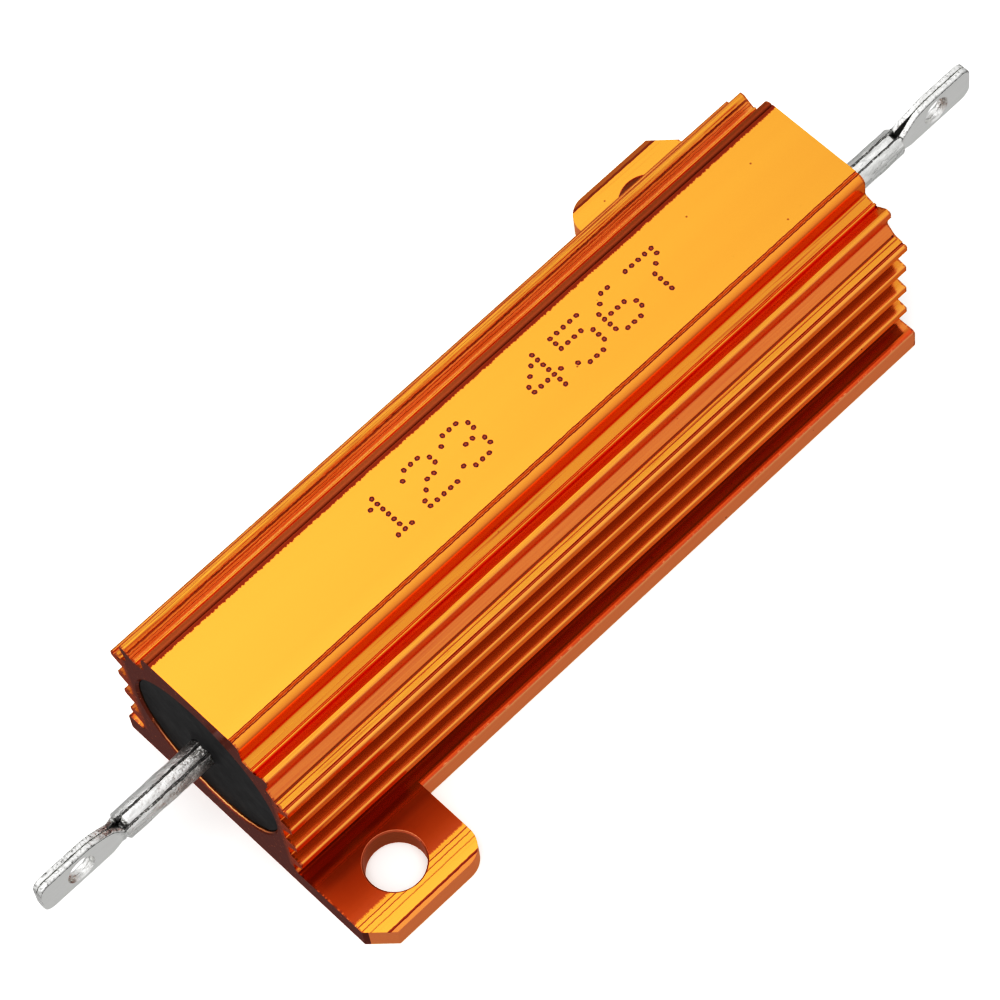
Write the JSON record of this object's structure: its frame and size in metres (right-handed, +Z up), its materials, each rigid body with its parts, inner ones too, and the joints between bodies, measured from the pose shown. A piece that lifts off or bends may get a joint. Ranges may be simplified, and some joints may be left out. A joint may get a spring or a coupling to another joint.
{
  "type": "aluminium housed power resistor",
  "caption": "Finned extruded housing that clamps a potted wire-wound resistor to a chassis and sheds its heat, with diagonal mounting ears and rolled solder lug terminals at its ends.",
  "frame": {"origin": "on the mounting face, below the middle of the housing's length and width", "axes": "+X along the terminals towards the far one, +Y across the ears towards the far ear, +Z up from the mounting face"},
  "size_m": [0.075, 0.027, 0.015],
  "materials": {
    "anodised_housing": "gold anodised, satin",
    "potting": "matte black",
    "ceramic": "unglazed",
    "resistance_wire": "drawn",
    "cap_steel": "plated",
    "tinned": "tinned, bright"
  },
  "bodies": {
    "root": {"housing": "anodised_housing", "potting": "potting", "ceramic_core": "ceramic", "resistance_winding": "resistance_wire", "end_cap_near": "cap_steel", "end_cap_far": "cap_steel", "terminal_near": "tinned", "terminal_far": "tinned"}
  },
  "joints": []
}
